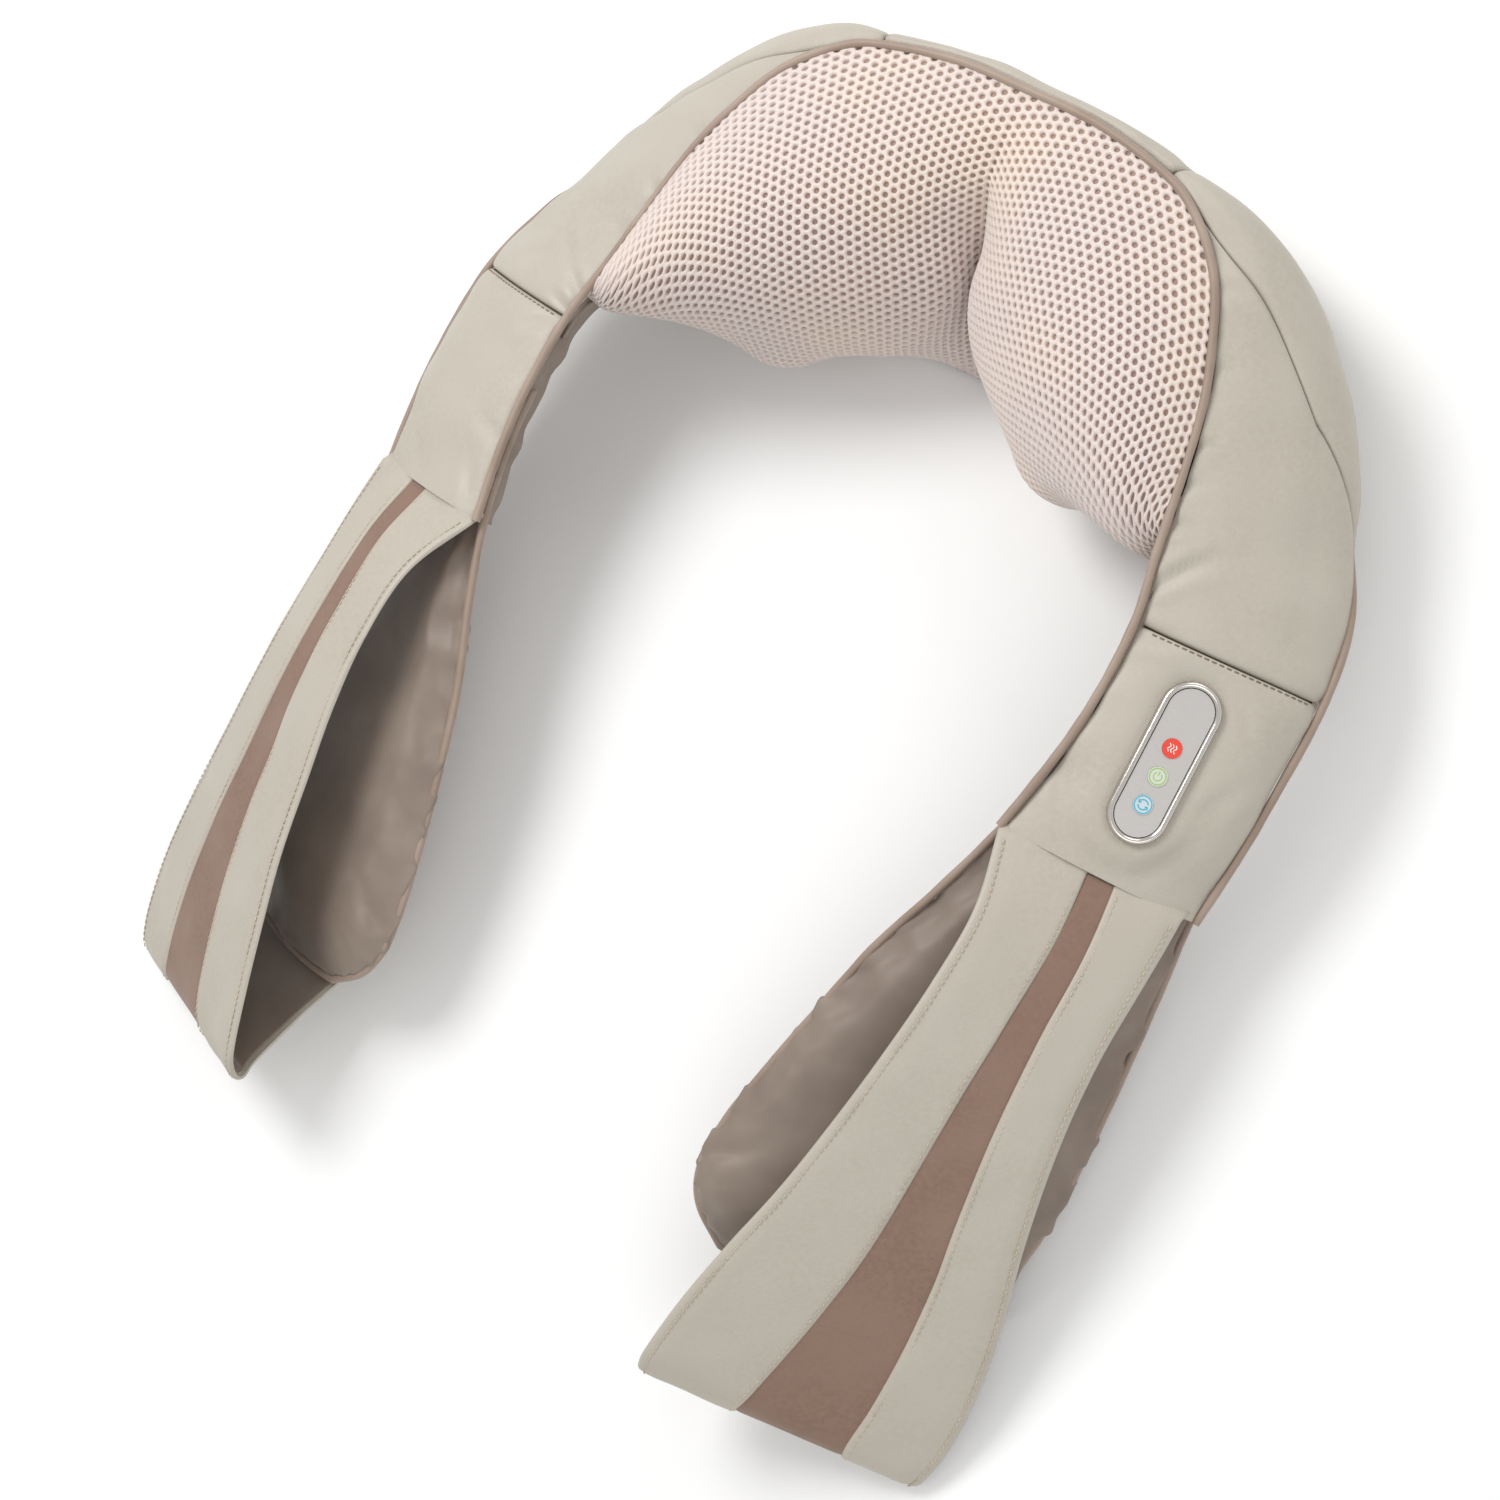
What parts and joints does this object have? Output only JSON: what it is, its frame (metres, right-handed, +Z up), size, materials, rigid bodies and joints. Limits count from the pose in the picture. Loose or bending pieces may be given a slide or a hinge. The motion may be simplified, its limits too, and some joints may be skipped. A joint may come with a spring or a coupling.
{
  "type": "shiatsu neck massager",
  "caption": "U-shaped neck and shoulder massager with a mesh-covered kneading pod, padded leather-look arms, hand-strap loops and a small control panel.",
  "frame": {"origin": "middle of the bounding box at the surface that the massager stands on", "axes": "+Z up, +Y towards the back of the neck, +X towards the arm that carries the control panel"},
  "size_m": [0.4702, 0.5562, 0.1227],
  "materials": {
    "leather": "fine-grained coated leather-look fabric, satin",
    "satin_lining": "satin woven lining",
    "piping": "bound piping, satin",
    "stripe": "smooth leather-look strip",
    "air_mesh": "knitted spacer mesh with small open cells",
    "foam": "open-cell foam",
    "moulded": "moulded, fine texture",
    "massage_head": "smooth moulded",
    "gear_nylon": "natural nylon",
    "steel": "zinc-plated",
    "gearbox_case": "glass-filled, dark",
    "lamp": "translucent red dome",
    "circuit_board": "solder mask",
    "chrome_trim": "bright plated",
    "silver_face": "silver lacquer",
    "red_button": "gloss",
    "green_button": "gloss, translucent",
    "blue_button": "gloss, translucent",
    "black_plastic": "moulded",
    "lead_jacket": "flexible jacket"
  },
  "bodies": {
    "collar": {"back_panel": "leather", "left_wedge_panel": "leather", "right_wedge_panel": "leather", "left_shoulder_panel": "leather", "right_shoulder_panel": "leather", "left_arm_panel": "leather", "right_arm_panel": "leather", "pod_base": "satin_lining", "left_under_panel": "satin_lining", "right_under_panel": "satin_lining", "mesh_cover": "air_mesh", "rim_piping": "piping", "left_shoulder_foam": "foam", "right_shoulder_foam": "foam", "left_arm_foam": "foam", "right_arm_foam": "foam", "left_pad": "satin_lining", "right_pad": "satin_lining", "left_pad_piping": "piping", "right_pad_piping": "piping", "left_strap": "leather", "right_strap": "leather", "left_strap_lining": "satin_lining", "right_strap_lining": "satin_lining", "left_strap_stripe": "stripe", "right_strap_stripe": "stripe", "rear_housing": "moulded", "chassis_plate": "steel", "gearbox": "gearbox_case", "motor": "steel", "motor_clamp": "steel", "idler_pin": "steel", "left_post": "steel", "right_post": "steel", "left_heat_lamp": "lamp", "right_heat_lamp": "lamp", "chassis_screws": "steel", "main_board": "circuit_board", "control_housing": "moulded", "control_bezel": "chrome_trim", "control_face": "silver_face", "control_board": "circuit_board", "power_inlet": "black_plastic", "control_lead": "lead_jacket", "inlet_lead": "lead_jacket"},
    "left_rotor": {"left_wheel": "gear_nylon", "left_rotor_plate": "moulded", "left_heads": "massage_head"},
    "right_rotor": {"right_wheel": "gear_nylon", "right_rotor_plate": "moulded", "right_heads": "massage_head"},
    "pinion": {"drive_pinion": "steel"},
    "idler": {"idler_gear": "gear_nylon"},
    "heat_button": {"heat_button": "red_button"},
    "power_button": {"power_button": "green_button"},
    "direction_button": {"direction_button": "blue_button"}
  },
  "joints": [
    {"name": "left_rotor_spin", "type": "hinge", "parent": "collar", "child": "left_rotor", "pos_m": [-0.064, 0.21985, 0.04219], "axis": [0, -0.7716, 0.6361], "continuous": true},
    {"name": "right_rotor_spin", "type": "hinge", "parent": "collar", "child": "right_rotor", "pos_m": [0.064, 0.21985, 0.04219], "axis": [0, -0.7716, 0.6361], "continuous": true},
    {"name": "pinion_spin", "type": "hinge", "parent": "collar", "child": "pinion", "pos_m": [-0.012, 0.21985, 0.04219], "axis": [0, -0.7716, 0.6361], "continuous": true},
    {"name": "idler_spin", "type": "hinge", "parent": "collar", "child": "idler", "pos_m": [0.012, 0.21985, 0.04219], "axis": [0, -0.7716, 0.6361], "continuous": true},
    {"name": "heat_button_press", "type": "slide", "parent": "collar", "child": "heat_button", "axis": [-0.3888, 0.0372, -0.9206], "range_m": [0, 0.001], "stiffness_N_per_m": 400},
    {"name": "power_button_press", "type": "slide", "parent": "collar", "child": "power_button", "axis": [-0.3888, 0.0372, -0.9206], "range_m": [0, 0.001], "stiffness_N_per_m": 400},
    {"name": "direction_button_press", "type": "slide", "parent": "collar", "child": "direction_button", "axis": [-0.3888, 0.0372, -0.9206], "range_m": [0, 0.001], "stiffness_N_per_m": 400}
  ],
  "couplings": [
    {"joint": "right_rotor_spin", "follows": "left_rotor_spin", "ratio": -1},
    {"joint": "pinion_spin", "follows": "left_rotor_spin", "ratio": -3.3333},
    {"joint": "idler_spin", "follows": "left_rotor_spin", "ratio": 3.3333}
  ]
}
